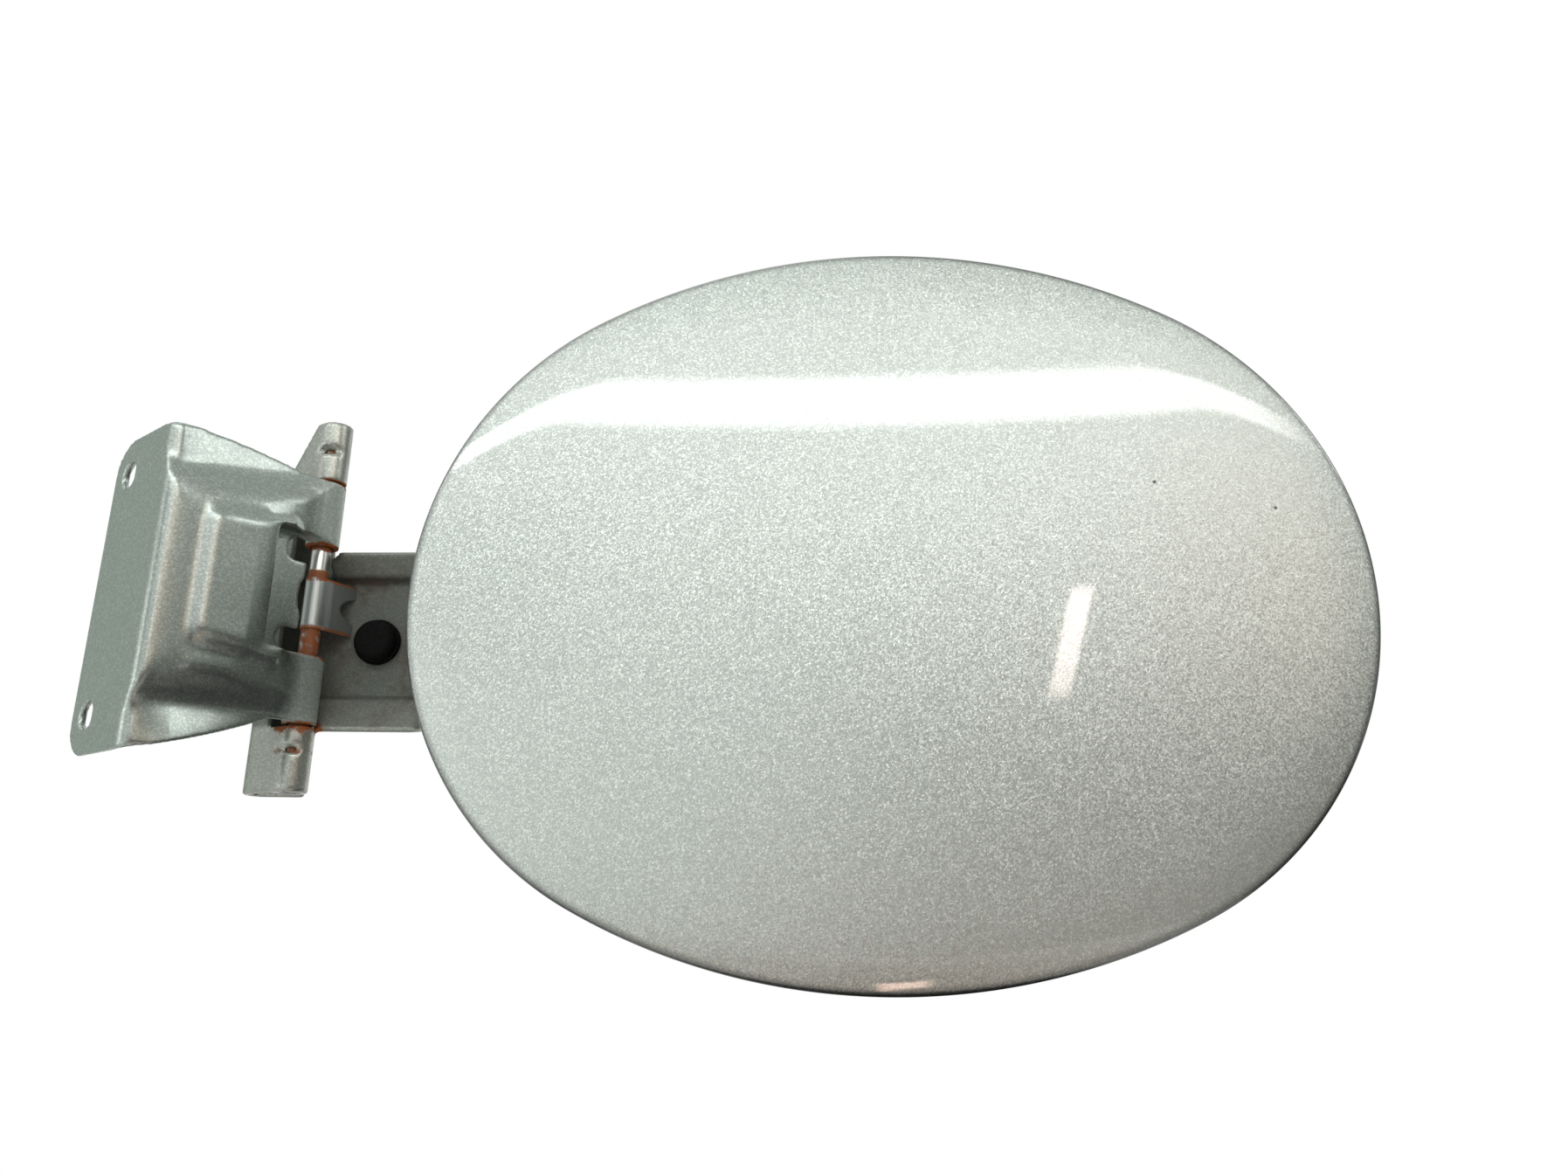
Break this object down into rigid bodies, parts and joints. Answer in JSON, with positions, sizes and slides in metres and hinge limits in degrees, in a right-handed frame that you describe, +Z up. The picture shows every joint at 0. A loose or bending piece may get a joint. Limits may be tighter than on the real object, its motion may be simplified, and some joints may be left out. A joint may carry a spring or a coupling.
{
  "type": "car fuel door",
  "caption": "Oval car fuel door: a crowned, hemmed panel on a gooseneck arm that swings on a pin in a stamped bracket, which screws to the car body.",
  "frame": {"origin": "midway between the bracket's two screw holes, on the face that seats on the car body", "axes": "+Z up along the hinge pin, +X from the bracket towards the door's free end, -Y out of the door's outer face with the door as pictured"},
  "size_m": [0.2477, 0.0414, 0.1412],
  "materials": {
    "door_paint": "silver metallic paint under clear coat",
    "inner_paint": "silver metallic paint, thinner and duller than outside",
    "bracket_coat": "grey-green primer on steel, dirty, rusty at the knuckles",
    "arm_coat": "grey-green primer on steel, dirty, rusty at the knuckles",
    "pin_steel": "bright drawn steel with rust rings",
    "spring_steel": "rolled spring strip",
    "bumper_rubber": "matt moulded",
    "striker_steel": "zinc plated"
  },
  "bodies": {
    "bracket": {"hinge_bracket": "bracket_coat"},
    "door": {"outer_panel": "door_paint", "inner_panel": "inner_paint", "hinge_arm": "arm_coat", "hinge_pin": "pin_steel", "leaf_spring": "spring_steel", "rubber_bumper": "bumper_rubber", "latch_striker": "striker_steel"}
  },
  "joints": [
    {"name": "door_hinge", "type": "hinge", "parent": "bracket", "child": "door", "pos_m": [0.0328, 0.02005, 0.0034], "axis": [0, 0, 1], "range_deg": [-36, 54]}
  ]
}
